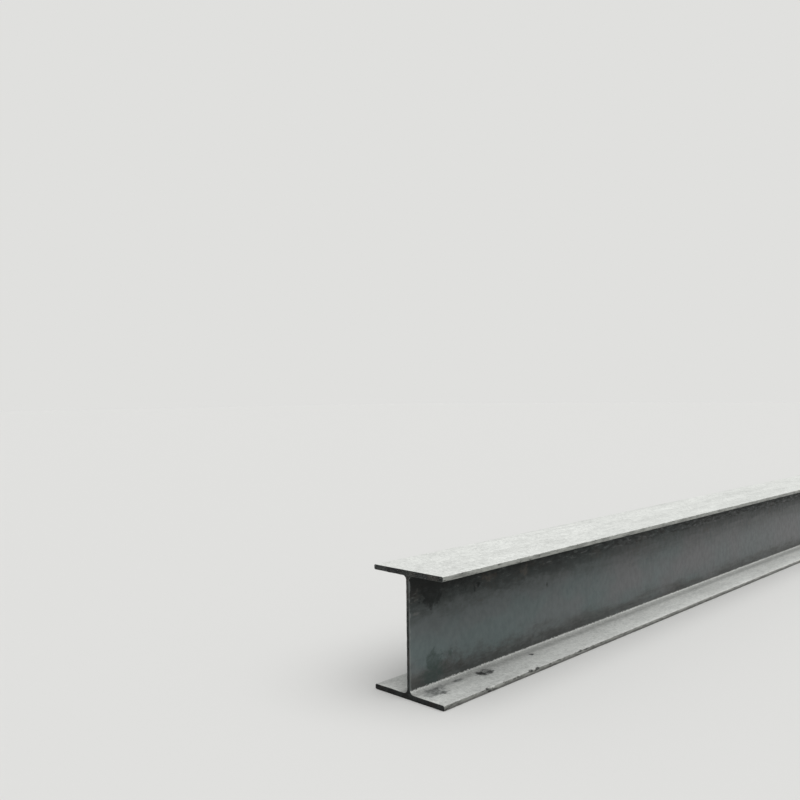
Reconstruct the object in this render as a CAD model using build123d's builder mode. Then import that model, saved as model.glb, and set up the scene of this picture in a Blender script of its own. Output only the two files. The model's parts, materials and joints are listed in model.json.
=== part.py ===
from build123d import *

import os

# A hot-rolled steel H-beam: one piece of stock that lies on its lower flange.
# Sizes are in millimetres. X runs along the beam, Y across the flanges and Z up.
# The origin is on the floor, under the web at the middle of the length.

# Section H 340 x 250 x 9 x 14, with its root fillets
depth = 340.0
flange_width = 250.0
web_thickness = 9.0
flange_thickness = 14.0
root_radius = 13.0

# Corners that the edging rolls leave on the flange toes
toe_radius = 4.0

# Cut length, and the arris that is rubbed off both sawn ends
length = 6000.0
saw_arris = 0.8


with BuildPart() as h_beam:
    with BuildSketch(Plane.YZ) as section:
        # Two flanges, one at the floor and one at the full depth
        with Locations((0, flange_thickness / 2), (0, depth - flange_thickness / 2)):
            Rectangle(flange_width, flange_thickness)
        # The web between them, fused into the same outline
        with Locations((0, depth / 2)):
            Rectangle(web_thickness, depth)

        # The outline's corners stand in four columns: toes, roots, roots and toes
        columns = section.vertices().group_by(Axis.X)
        fillet(columns[1] + columns[-2], radius=root_radius)
        # With the roots rounded, the toes are still the two outermost columns
        columns = section.vertices().group_by(Axis.X)
        fillet(columns[0] + columns[-1], radius=toe_radius)

    # The rolls draw the section out along the beam
    extrude(amount=length / 2, both=True)

    # Both ends are sawn square
    sawn_ends = faces().filter_by(Axis.X).sort_by(Axis.X)
    chamfer(sawn_ends[0].edges() + sawn_ends[-1].edges(), length=saw_arris)

h_beam.part.label = "h_beam"

os.makedirs("parts", exist_ok=True)
export_step(h_beam.part, "parts/h_beam.step")
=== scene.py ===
"""A hot-rolled steel H-beam as it lies in a stock yard: its surface, its light and its picture."""

import json
import logging
import math
from abc import ABC, abstractmethod
from dataclasses import dataclass
from enum import Enum

import bmesh
import bpy
import numpy as np
from mathutils import Matrix, Vector


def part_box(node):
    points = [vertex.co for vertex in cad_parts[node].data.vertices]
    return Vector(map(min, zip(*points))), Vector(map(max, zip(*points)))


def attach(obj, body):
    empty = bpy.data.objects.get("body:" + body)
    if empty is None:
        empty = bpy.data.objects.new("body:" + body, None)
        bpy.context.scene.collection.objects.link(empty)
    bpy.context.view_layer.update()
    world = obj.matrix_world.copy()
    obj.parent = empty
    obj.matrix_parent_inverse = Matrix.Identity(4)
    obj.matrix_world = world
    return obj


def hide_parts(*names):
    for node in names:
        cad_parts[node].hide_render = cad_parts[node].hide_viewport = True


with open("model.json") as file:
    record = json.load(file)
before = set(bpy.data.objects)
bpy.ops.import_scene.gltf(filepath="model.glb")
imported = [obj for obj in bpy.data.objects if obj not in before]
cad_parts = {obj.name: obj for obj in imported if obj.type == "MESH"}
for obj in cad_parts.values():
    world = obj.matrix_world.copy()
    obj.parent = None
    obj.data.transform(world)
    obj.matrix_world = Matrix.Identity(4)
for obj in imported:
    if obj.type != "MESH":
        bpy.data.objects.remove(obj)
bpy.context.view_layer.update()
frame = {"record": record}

log = logging.getLogger("h_beam")

Socket = bpy.types.NodeSocket
Outputs = bpy.types.bpy_prop_collection
Value = Socket | float | tuple
Rgb = tuple[int, int, int]
Place = tuple[float, float, float]
Flat = tuple[float, float]
# Where a ramp starts and ends, or the two numbers that it runs between
Span = tuple[Value, Value]
# A noise: its lumps to a metre, alike or along X, Y and Z, its finer layers, and how strong they are
Lumps = tuple[Value, float, float]

NODE = "h_beam"
BODY = "root"
MM = 0.001

# Nearly all of a noise lies in the wide span. The narrow one gives its clouds more contrast.
WIDE: Span = (0.3, 0.7)
NARROW: Span = (0.36, 0.64)
# Shares of the depth between which a ramp tells the lower flange from the upper one
LOWER_TO_UPPER: Span = (0.4, 0.6)
BUMP_DEPTH = 0.5 * MM


def shade(colour: Rgb) -> tuple[float, float, float, float]:
    """Turns a colour as a screen shows it into the linear one that a shader takes.

    Args:
        colour: Red, green and blue, from 0 to 255.

    Returns:
        The linear colour, with an alpha of 1.
    """
    shares = (part / 255 for part in colour)
    linear = (s / 12.92 if s <= 0.04045 else ((s + 0.055) / 1.055) ** 2.4 for s in shares)
    return (*linear, 1.0)


class Graph:
    """Adds nodes to one node tree, and takes sockets, numbers and tuples as inputs alike."""

    def __init__(self, tree: bpy.types.NodeTree) -> None:
        """Keeps the tree that the nodes go into."""
        self.tree = tree

    def feed(self, socket: Socket, value: Value) -> None:
        """Links a socket to another, or sets its value.

        Args:
            socket: The input.
            value: A socket, a number or a tuple.
        """
        if isinstance(value, Socket):
            self.tree.links.new(value, socket)
        else:
            socket.default_value = value

    def add(self, kind: str, inputs: dict | None = None, **settings: object) -> bpy.types.Node:
        """Adds one node.

        Args:
            kind: The node's type name.
            inputs: Its inputs by name or number.
            **settings: Its properties.

        Returns:
            The node.
        """
        node = self.tree.nodes.new(kind)
        for name, value in settings.items():
            setattr(node, name, value)
        for key, value in (inputs or {}).items():
            self.feed(node.inputs[key], value)
        return node

    def math(self, operation: str, *terms: Value, clamp: bool = False) -> Socket:
        """Returns what comes of one to three terms."""
        node = self.add("ShaderNodeMath", dict(enumerate(terms)), operation=operation, use_clamp=clamp)
        return node.outputs[0]

    def plus(self, first: Value, second: Value) -> Socket:
        """Returns a sum."""
        return self.math("ADD", first, second)

    def minus(self, first: Value, second: Value) -> Socket:
        """Returns a difference."""
        return self.math("SUBTRACT", first, second)

    def times(self, first: Value, second: Value) -> Socket:
        """Returns a product."""
        return self.math("MULTIPLY", first, second)

    def most(self, first: Value, second: Value) -> Socket:
        """Returns the larger of two numbers."""
        return self.math("MAXIMUM", first, second)

    def size(self, value: Value) -> Socket:
        """Returns a number without its sign."""
        return self.math("ABSOLUTE", value)

    def vector(self, operation: str, *terms: Value) -> Socket:
        """Returns the vector that comes of one or two vectors."""
        return self.add("ShaderNodeVectorMath", dict(enumerate(terms)), operation=operation).outputs[0]

    def length(self, vector: Value) -> Socket:
        """Returns a vector's length."""
        return self.add("ShaderNodeVectorMath", {0: vector}, operation="LENGTH").outputs["Value"]

    def parts(self, vector: Value) -> tuple[Socket, Socket, Socket]:
        """Returns a vector's X, Y and Z."""
        return tuple(self.add("ShaderNodeSeparateXYZ", {0: vector}).outputs)

    def ramp(self, value: Value, span: Span, low: Value = 0.0, high: Value = 1.0) -> Socket:
        """Turns a value smoothly into another range.

        Args:
            value: What is turned.
            span: Where the result is low, and where it is high. The second may be the smaller.
            low: The result at the span's start and beyond.
            high: The result at its end and beyond.

        Returns:
            The result, which stays between low and high.
        """
        inputs = {"Value": value, "From Min": span[0], "From Max": span[1], "To Min": low, "To Max": high}
        return self.add("ShaderNodeMapRange", inputs, interpolation_type="SMOOTHSTEP").outputs[0]

    def noise(self, place: Value, lumps: Lumps) -> Socket:
        """Returns cloudy noise between 0 and 1, mostly near a half.

        Args:
            place: Where it is read, in metres.
            lumps: Its scale, its finer layers and how strong they are.

        Returns:
            The noise.
        """
        scale, detail, rough = lumps
        inputs = {"Vector": place, "Scale": scale, "Detail": detail, "Roughness": rough}
        if isinstance(scale, (tuple, Socket)):
            inputs |= {"Vector": self.vector("MULTIPLY", place, scale), "Scale": 1.0}
        return self.add("ShaderNodeTexNoise", inputs).outputs[0]

    def clouds(self, place: Value, lumps: Lumps, span: Span = WIDE, values: Span = (0.0, 1.0)) -> Socket:
        """Returns noise that a ramp spreads over a span of values."""
        return self.ramp(self.noise(place, lumps), span, *values)

    def sway(self, place: Value, lumps: Lumps, reach: float, span: Span = WIDE) -> Socket:
        """Returns noise that is spread from a reach below zero to one above."""
        return self.clouds(place, lumps, span, (-reach, reach))

    def mix(self, share: Value, first: Value, second: Value) -> Socket:
        """Returns the first colour with a share of the second laid on it."""
        inputs = {0: share, 6: first, 7: second}
        return self.add("ShaderNodeMix", inputs, data_type="RGBA", clamp_factor=True).outputs[2]

    def blend(self, share: Value, numbers: Span) -> Socket:
        """Returns a number between two others."""
        inputs = {0: share, 2: numbers[0], 3: numbers[1]}
        return self.add("ShaderNodeMix", inputs, data_type="FLOAT").outputs[0]

    def dim(self, colour: Value, light: Value) -> Socket:
        """Returns a colour made lighter or darker by a factor."""
        return self.add("ShaderNodeVectorMath", {0: colour, "Scale": light}, operation="SCALE").outputs[0]


class Effect(ABC):
    """A shader node group with named inputs and outputs, which is built once and placed in materials."""

    name: str
    inputs: dict[str, tuple[str, Value]]
    outputs: dict[str, str]

    def tree(self) -> bpy.types.NodeTree:
        """Builds the group the first time, and finds it after that.

        Returns:
            The group.
        """
        found = bpy.data.node_groups.get(self.name)
        if found is not None:
            return found
        made = bpy.data.node_groups.new(self.name, "ShaderNodeTree")
        for name, (kind, default) in self.inputs.items():
            made.interface.new_socket(name, in_out="INPUT", socket_type=kind).default_value = default
        for name, kind in self.outputs.items():
            made.interface.new_socket(name, in_out="OUTPUT", socket_type=kind)
        graph = Graph(made)
        inlet, outlet = graph.add("NodeGroupInput"), graph.add("NodeGroupOutput")
        for name, socket in self.fill(graph, inlet.outputs).items():
            graph.feed(outlet.inputs[name], socket)
        return made

    @abstractmethod
    def fill(self, graph: Graph, given: Outputs) -> dict[str, Socket]:
        """Builds what is inside the group.

        Args:
            graph: Where its nodes go.
            given: The group's inputs, by name.

        Returns:
            A socket for each output, by name.
        """

    def place(self, graph: Graph, **values: Value) -> Outputs:
        """Places the group in a material.

        Args:
            graph: The material's nodes.
            **values: Its inputs by name, with an underscore for each space.

        Returns:
            The group's outputs, by name.
        """
        node = graph.add("ShaderNodeGroup", node_tree=self.tree())
        for name, value in values.items():
            graph.feed(node.inputs[name.replace("_", " ")], value)
        return node.outputs


VECTOR, FLOAT = "NodeSocketVector", "NodeSocketFloat"
ORIGIN = (0.0, 0.0, 0.0)


class Dust(Effect):
    """Pale yard dust. It lies on what faces up, and ends in a ragged line where the surface turns away."""

    name = "yard dust"
    inputs = {
        "Position": (VECTOR, ORIGIN),
        "Upward": (FLOAT, 0.0),
        "Thickness": (FLOAT, 0.9),
        "Patchiness": (FLOAT, 0.3),
    }
    outputs = {"Mask": FLOAT, "Tone": FLOAT}

    thin_patches: Lumps = ((12.0, 30.0, 30.0), 6.0, 0.66)
    thin_span: Span = (0.60, 0.36)
    edge: Lumps = ((150.0, 150.0, 260.0), 4.0, 0.7)
    edge_sway: float = 0.15
    slope_that_holds_it: Span = (0.25, 0.41)
    drifts: Lumps = ((2.0, 14.0, 14.0), 5.0, 0.6)
    grains: Lumps = ((150.0, 110.0, 110.0), 5.0, 0.85)
    share_of_grains: float = 0.8

    def fill(self, graph: Graph, given: Outputs) -> dict[str, Socket]:
        """Builds the dust's mask, and a tone from 0 in its darker drifts to 1 in its paler ones.

        Args:
            graph: Where its nodes go.
            given: The group's inputs, by name.

        Returns:
            A socket for each output, by name.
        """
        place = given["Position"]
        thin = graph.clouds(place, self.thin_patches, self.thin_span)
        cover = graph.minus(given["Thickness"], graph.times(thin, given["Patchiness"]))
        slope = graph.plus(given["Upward"], graph.sway(place, self.edge, self.edge_sway))
        settled = graph.ramp(slope, self.slope_that_holds_it)
        layers = (graph.noise(place, self.drifts), graph.noise(place, self.grains))
        return {
            "Mask": graph.math("MULTIPLY", cover, settled, clamp=True),
            "Tone": graph.ramp(graph.blend(self.share_of_grains, layers), NARROW),
        }


class Blot(Effect):
    """One mark at one place, with an edge that breaks up into islands and holes."""

    name = "blot"
    inputs = {
        "Position": (VECTOR, ORIGIN),
        "Noise": (FLOAT, 0.5),
        "Centre": (VECTOR, ORIGIN),
        "Reach": (VECTOR, (0.1, 0.1, 0.1)),
        "Raggedness": (FLOAT, 0.5),
        "Softness": (FLOAT, 0.5),
        "Strength": (FLOAT, 1.0),
    }
    outputs = {"Mask": FLOAT}

    # By how many reaches the noise's whole range moves the edge, at a raggedness of 1
    sway: float = 5.0

    def fill(self, graph: Graph, given: Outputs) -> dict[str, Socket]:
        """Builds the mark's mask from how far a point is from its centre.

        Args:
            graph: Where its nodes go.
            given: The group's inputs, by name.

        Returns:
            A socket for each output, by name.
        """
        offset = graph.vector("SUBTRACT", given["Position"], given["Centre"])
        away = graph.length(graph.vector("DIVIDE", offset, given["Reach"]))
        ragged = graph.times(graph.minus(given["Noise"], 0.5), given["Raggedness"])
        share = graph.math("MULTIPLY_ADD", ragged, self.sway, away)
        inner = graph.minus(1.0, given["Softness"])
        return {"Mask": graph.ramp(share, (inner, 1.0), given["Strength"], 0.0)}


class Grain(Effect):
    """The steel's own unevenness: broad clouds, streaks along one direction, and a fine mottle."""

    name = "steel grain"
    inputs = {
        "Position": (VECTOR, ORIGIN),
        "Cloud Scale": (VECTOR, (3.5, 3.5, 5.0)),
        "Streak Scale": (VECTOR, (22.0, 22.0, 2.5)),
        "Mottle Scale": (VECTOR, (60.0, 60.0, 45.0)),
    }
    outputs = {"Cloud": FLOAT, "Streak": FLOAT, "Mottle": FLOAT, "Height": FLOAT}

    # The finer layers of each, and how strong they are
    cloud_layers: Flat = (3.0, 0.5)
    streak_layers: Flat = (6.0, 0.7)
    mottle_layers: Flat = (5.0, 0.65)
    pits: Lumps = (330.0, 3.0, 0.6)

    def fill(self, graph: Graph, given: Outputs) -> dict[str, Socket]:
        """Builds the three layers, and the height that they give the surface.

        Args:
            graph: Where its nodes go.
            given: The group's inputs, by name.

        Returns:
            A socket for each output, by name.
        """
        place = given["Position"]
        mottle = graph.noise(place, (given["Mottle Scale"], *self.mottle_layers))
        return {
            "Cloud": graph.clouds(place, (given["Cloud Scale"], *self.cloud_layers), NARROW),
            "Streak": graph.clouds(place, (given["Streak Scale"], *self.streak_layers)),
            "Mottle": graph.ramp(mottle, WIDE),
            "Height": graph.blend(0.5, (graph.noise(place, self.pits), mottle)),
        }


class Rust(Effect):
    """Brown rust, as freckles and as a thin bloom."""

    name = "rust"
    inputs = {"Position": (VECTOR, ORIGIN), "Amount": (FLOAT, 0.2)}
    outputs = {"Mask": FLOAT}

    bloom: Lumps = ((7.0, 16.0, 12.0), 5.0, 0.62)
    freckles: Lumps = (110.0, 4.0, 0.65)
    share_of_freckles: float = 0.4
    # The noise above which there is rust, and what a full amount adds to it
    rusty_above: float = 0.66
    with_amount: float = -0.4
    softness: Span = (0.0, 0.08)

    def fill(self, graph: Graph, given: Outputs) -> dict[str, Socket]:
        """Builds the rust's mask, which covers more as its amount grows.

        Args:
            graph: Where its nodes go.
            given: The group's inputs, by name.

        Returns:
            A socket for each output, by name.
        """
        place = given["Position"]
        layers = (graph.noise(place, self.bloom), graph.noise(place, self.freckles))
        rusty = graph.blend(self.share_of_freckles, layers)
        edge = graph.math("MULTIPLY_ADD", given["Amount"], self.with_amount, self.rusty_above)
        return {"Mask": graph.ramp(graph.minus(rusty, edge), self.softness)}


class Flecks(Effect):
    """Dark and pale flecks that lie along the beam in one band of its height."""

    name = "flecks"
    inputs = {"Position": (VECTOR, ORIGIN), "Height": (FLOAT, 0.0), "Reach": (FLOAT, 0.02)}
    outputs = {"Dark": FLOAT, "Pale": FLOAT}

    lumps: Lumps = ((24.0, 24.0, 95.0), 7.0, 0.74)
    band_edge: Span = (1.0, 0.2)
    dark_span: Span = (0.48, 0.60)
    pale_span: Span = (0.45, 0.34)

    def fill(self, graph: Graph, given: Outputs) -> dict[str, Socket]:
        """Builds the two masks, which fade out of the band.

        Args:
            graph: Where its nodes go.
            given: The group's inputs, by name.

        Returns:
            A socket for each output, by name.
        """
        _, _, z = graph.parts(given["Position"])
        away = graph.size(graph.minus(z, given["Height"]))
        band = graph.ramp(graph.math("DIVIDE", away, given["Reach"]), self.band_edge)
        lumps = graph.noise(given["Position"], self.lumps)
        return {
            "Dark": graph.times(band, graph.ramp(lumps, self.dark_span)),
            "Pale": graph.times(band, graph.ramp(lumps, self.pale_span)),
        }


class CutWear(Effect):
    """Where a cut end has been rubbed and knocked: a narrow, broken strip beside the cut."""

    name = "cut wear"
    inputs = {"Position": (VECTOR, ORIGIN), "Half Length": (FLOAT, 1.0), "Reach": (FLOAT, 0.005)}
    outputs = {"Mask": FLOAT}

    breaks: Lumps = ((90.0, 90.0, 60.0), 4.0, 0.65)
    sway: float = 4.0
    edge: Span = (1.1, 0.5)

    def fill(self, graph: Graph, given: Outputs) -> dict[str, Socket]:
        """Builds the mask, which is 1 at the cut and 0 past its reach.

        Args:
            graph: Where its nodes go.
            given: The group's inputs, by name.

        Returns:
            A socket for each output, by name.
        """
        x, _, _ = graph.parts(given["Position"])
        share = graph.math("DIVIDE", graph.minus(given["Half Length"], graph.size(x)), given["Reach"])
        broken = graph.minus(graph.noise(given["Position"], self.breaks), 0.5)
        return {"Mask": graph.ramp(graph.math("MULTIPLY_ADD", broken, self.sway, share), self.edge)}


@dataclass(frozen=True)
class Section:
    """The rolled section and its length, in metres."""

    depth: float
    width: float
    length: float
    web: float
    flange: float
    root: float = 13 * MM
    toe: float = 4 * MM
    arris: float = 0.8 * MM

    @classmethod
    def from_model(cls, record: dict) -> "Section":
        """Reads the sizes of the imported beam.

        Args:
            record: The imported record, whose mounts lie on the web and on the flanges' inner faces.

        Returns:
            The section.
        """
        low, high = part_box(NODE)
        places = {mount["name"]: mount["pos_m"] for mount in record["mounts"]}
        return cls(
            depth=high.z - low.z,
            width=high.y - low.y,
            length=high.x - low.x,
            web=2 * abs(places["web_right"][1]),
            flange=places["lower_flange_grip_right"][2],
        )

    @property
    def near_end(self) -> float:
        """Where the sawn end nearer the camera is, along X."""
        return -self.length / 2


@dataclass(frozen=True)
class Surface:
    """A material and its nodes, with sockets that say where on the beam a point lies."""

    material: bpy.types.Material
    section: Section
    graph: Graph
    place: Socket
    x: Socket
    y: Socket
    z: Socket

    @classmethod
    def start(cls, name: str, section: Section) -> "Surface":
        """Starts a new material.

        Args:
            name: Its name.
            section: The beam's sizes.

        Returns:
            The surface that it is for.
        """
        material = bpy.data.materials.new(name)
        material.use_nodes = True
        graph = Graph(material.node_tree)
        place = graph.add("ShaderNodeTexCoord").outputs["Object"]
        return cls(material, section, graph, place, *graph.parts(place))

    def at_depth(
        self, shares: Span, low: Value = 0.0, high: Value = 1.0, height: Socket | None = None
    ) -> Socket:
        """Ramps over the height, by shares of the beam's depth.

        Args:
            shares: Where the result is low, and where it is high.
            low: The result at the first share and beyond.
            high: The result at the second and beyond.
            height: What stands for the height, if it isn't the plain one.

        Returns:
            The result.
        """
        start, end = (share * self.section.depth for share in shares)
        return self.graph.ramp(self.z if height is None else height, (start, end), low, high)

    def from_near_end(self, distances: Span, low: float = 0.0, high: float = 1.0) -> Socket:
        """Ramps over how far a point is from the near end.

        Args:
            distances: Where the result is low, and where it is high.
            low: The result at the first distance and nearer.
            high: The result at the second and further.

        Returns:
            The result.
        """
        start, end = (self.section.near_end + distance for distance in distances)
        return self.graph.ramp(self.x, (start, end), low, high)

    def from_end(self) -> Socket:
        """Returns how far a point is from the nearer of the two ends."""
        return self.graph.minus(self.section.length / 2, self.graph.size(self.x))

    def across(self) -> Socket:
        """Returns how far a point is from the web's middle."""
        return self.graph.size(self.y)

    def on_toes(self) -> Socket:
        """Returns a mask of the flanges' toes, with their round arrises."""
        edge, toe = self.section.width / 2, self.section.toe
        return self.graph.ramp(self.across(), (edge - toe, edge - 0.5 * toe))

    def finish(
        self, colour: Socket, rough: Socket, gloss: float, height: Socket, bump: float
    ) -> bpy.types.Material:
        """Feeds the shader.

        Args:
            colour: The surface's colour.
            rough: Its roughness.
            gloss: How strongly it reflects.
            height: The height of its fine relief.
            bump: How strong that relief is.

        Returns:
            The material.
        """
        inputs = self.material.node_tree.nodes["Principled BSDF"].inputs
        self.graph.feed(inputs["Base Color"], colour)
        self.graph.feed(inputs["Roughness"], rough)
        inputs["Specular IOR Level"].default_value = gloss
        relief = {"Height": height, "Strength": bump, "Distance": BUMP_DEPTH}
        self.graph.feed(inputs["Normal"], self.graph.add("ShaderNodeBump", relief).outputs[0])
        return self.material


class Layer(Enum):
    """What a mark lies in."""

    SCALE = "the bare scale, under any dust"
    DUST = "the dust"
    TOP = "the topmost layer, where a knock has left it"


class Mark(Enum):
    """What has marked the surface, with its colour and its layer."""

    SOOT = (25, 27, 26), Layer.SCALE
    RUST = (84, 72, 62), Layer.SCALE
    DAMP = (54, 67, 64), Layer.SCALE
    PALE = (112, 111, 107), Layer.SCALE
    GRIME = (62, 59, 57), Layer.SCALE
    GREASE = (104, 107, 105), Layer.DUST
    TAR = (34, 36, 35), Layer.DUST
    CHIP = (32, 33, 32), Layer.TOP
    # Bare steel, painted pale as a highlight beside the chips.
    BARE_GLINT = (208, 210, 206), Layer.TOP

    def __init__(self, colour: Rgb, layer: Layer) -> None:
        """Keeps the colour and the layer apart."""
        self.colour = colour
        self.layer = layer


@dataclass(frozen=True)
class Stain:
    """A mark at one place on the surface, in metres.

    Its place is given from the near end, across from the web's middle and up from the floor.
    """

    mark: Mark
    place: Place
    reach: Place
    strength: float = 0.8
    ragged: float = 0.5
    soft: float = 0.6


@dataclass(frozen=True)
class Marking:
    """Lays marks on a colour, ragged at their edges and speckled inside."""

    stains: tuple[Stain, ...]
    edge: Lumps = ((50.0, 60.0, 58.0), 6.0, 0.7)
    speckle: Lumps = ((95.0, 140.0, 120.0), 5.0, 0.75)
    speckle_span: Span = (0.38, 0.58)
    speckle_cover: Span = (0.6, 1.0)

    def lay(self, at: Surface, layer: Layer, colour: Socket) -> Socket:
        """Lays the marks of one layer.

        Args:
            at: The surface.
            layer: The layer.
            colour: The colour so far.

        Returns:
            The marked colour.
        """
        graph = at.graph
        edge = graph.noise(at.place, self.edge)
        speckle = graph.clouds(at.place, self.speckle, self.speckle_span, self.speckle_cover)
        for stain in self.stains:
            if stain.mark.layer is not layer:
                continue
            mask = Blot().place(
                graph,
                Position=at.place,
                Noise=edge,
                Centre=(at.section.near_end + stain.place[0], *stain.place[1:]),
                Reach=stain.reach,
                Raggedness=stain.ragged,
                Softness=stain.soft,
                Strength=stain.strength,
            )["Mask"]
            colour = graph.mix(graph.times(mask, speckle), colour, shade(stain.mark.colour))
        return colour


@dataclass(frozen=True)
class FleckBand:
    """A band of flecks: its height as a share of the depth, its reach, and how strong its flecks are."""

    height: float
    reach: float
    dark: float
    pale: float


@dataclass(frozen=True)
class WebDirt:
    """What darkens the web towards both flanges: brown dirt at the bottom, soot and rust freckles on top, and
    painted shade that deepens up towards the upper flange, darkest right under it.

    Heights are shares of the beam's depth, from where a tone starts to where it is full. Where a share or
    a light has two numbers, the first is for the stretch next to the near end, and the second for past it.
    """

    brown: Rgb = (72, 73, 71)
    sooty: Rgb = (58, 64, 62)
    shade_and_soot_under_flange: Rgb = (27, 29, 28)
    rust: Rgb = (88, 78, 69)
    dark_fleck: Rgb = (44, 45, 43)
    pale_fleck: Rgb = (112, 113, 110)

    # The edges' tatters: in patches in the near stretch, and drawn out and further down past that
    patches: Lumps = ((13.0, 13.0, 28.0), 8.0, 0.74)
    drawn_out: Lumps = ((4.5, 4.5, 30.0), 8.0, 0.74)
    tatter: float = 30 * MM
    further_down: float = 15 * MM
    fine: Lumps = ((26.0, 26.0, 90.0), 6.0, 0.72)
    fine_tatter: float = 16 * MM

    brown_heights: Span = (0.27, 0.12)
    brown_share: float = 0.8
    foot_heights: Span = (0.15, 0.08)
    foot_share: float = 0.4
    sooty_heights: Span = (0.52, 0.76)
    sooty_share: Span = (0.8, 0.6)
    shade_and_soot_heights: Span = (0.785, 0.875)
    shade_and_soot_share: Span = (0.8, 0.55)
    painted_shade_heights: Span = (0.28, 0.85)
    lightest: float = 1.12
    darkest: Span = (0.55, 0.60)
    low_rust: float = 0.6
    most_rust: float = 0.35
    rust_share: float = 0.32
    bands: tuple[FleckBand, ...] = (
        FleckBand(height=0.80, reach=28 * MM, dark=0.7, pale=0.29),
        FleckBand(height=0.13, reach=20 * MM, dark=0.3, pale=0.30),
    )

    def lay(self, at: Surface, far: Socket, colour: Socket) -> Socket:
        """Darkens the web with dirt and with painted shade.

        Args:
            at: The surface.
            far: 0 in the stretch next to one end, where the web is drawn darker, and 1 past that.
            colour: The colour so far.

        Returns:
            The darkened colour.
        """
        graph = at.graph
        tatters = (graph.noise(at.place, self.patches), graph.noise(at.place, self.drawn_out))
        height = graph.plus(at.z, graph.ramp(graph.blend(far, tatters), WIDE, -self.tatter, self.tatter))
        height = graph.plus(height, graph.times(far, self.further_down))
        low = at.at_depth(self.brown_heights, height=height)
        colour = graph.mix(graph.times(low, self.brown_share), colour, shade(self.brown))
        foot = at.at_depth(self.foot_heights, height=height)
        colour = graph.mix(graph.times(foot, self.foot_share), colour, shade(self.dark_fleck))
        high = at.at_depth(self.sooty_heights, height=height)
        colour = graph.mix(graph.times(high, graph.blend(far, self.sooty_share)), colour, shade(self.sooty))

        edges = graph.most(high, graph.times(low, self.low_rust))
        rust = Rust().place(graph, Position=at.place, Amount=graph.times(edges, self.most_rust))["Mask"]
        colour = graph.mix(graph.times(rust, self.rust_share), colour, shade(self.rust))
        # Painted shade: the web is drawn lighter low down and darker up towards the upper flange, darkest in
        # the near stretch.
        light = at.at_depth(self.painted_shade_heights, self.lightest, graph.blend(far, self.darkest))
        colour = graph.dim(colour, light)

        # Painted shade right under the upper flange, with some soot in it.
        under = graph.plus(at.z, graph.sway(at.place, self.fine, self.fine_tatter))
        shade_and_soot_under_flange = graph.times(at.at_depth(self.shade_and_soot_heights, height=under), graph.blend(far, self.shade_and_soot_share))
        colour = graph.mix(shade_and_soot_under_flange, colour, shade(self.shade_and_soot_under_flange))
        for band in self.bands:
            middle = band.height * at.section.depth
            flecks = Flecks().place(graph, Position=at.place, Height=middle, Reach=band.reach)
            colour = graph.mix(graph.times(flecks["Dark"], band.dark), colour, shade(self.dark_fleck))
            colour = graph.mix(graph.times(flecks["Pale"], band.pale), colour, shade(self.pale_fleck))
        return colour


@dataclass(frozen=True)
class WornToes:
    """The worn grey of the flanges' toes, with dark chips. The lower ones are darker."""

    upper: Rgb = (144, 146, 141)
    lower: Rgb = (137, 139, 134)
    under: Rgb = (110, 111, 107)
    chipped: Rgb = (56, 56, 53)
    # Shares of the flange's thickness
    under_to_lower: Span = (0.3, 0.7)
    grain: Lumps = ((20.0, 90.0, 110.0), 6.0, 0.7)
    grain_span: Span = (0.32, 0.68)
    grain_light: Span = (0.60, 1.32)
    chips: Lumps = ((42.0, 120.0, 150.0), 5.0, 0.7)
    # The noise past which the lower toes and the upper ones are chipped
    chipped_past: Span = (0.54, 0.58)
    chip_edge: Span = (0.0, 0.06)
    chip_share: float = 0.8

    def lay(self, at: Surface, colour: Socket) -> Socket:
        """Lays the toes' grey on a colour.

        Args:
            at: The surface.
            colour: The colour so far.

        Returns:
            The colour with the toes laid on.
        """
        graph = at.graph
        upper = at.at_depth(LOWER_TO_UPPER)
        start, end = (share * at.section.flange for share in self.under_to_lower)
        lower = graph.mix(graph.ramp(at.z, (start, end)), shade(self.under), shade(self.lower))
        grey = graph.mix(upper, lower, shade(self.upper))
        grey = graph.dim(grey, graph.clouds(at.place, self.grain, self.grain_span, self.grain_light))
        chips = graph.minus(graph.noise(at.place, self.chips), graph.blend(upper, self.chipped_past))
        chipped = graph.times(graph.ramp(chips, self.chip_edge), self.chip_share)
        return graph.mix(at.on_toes(), colour, graph.mix(chipped, grey, shade(self.chipped)))


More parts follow.
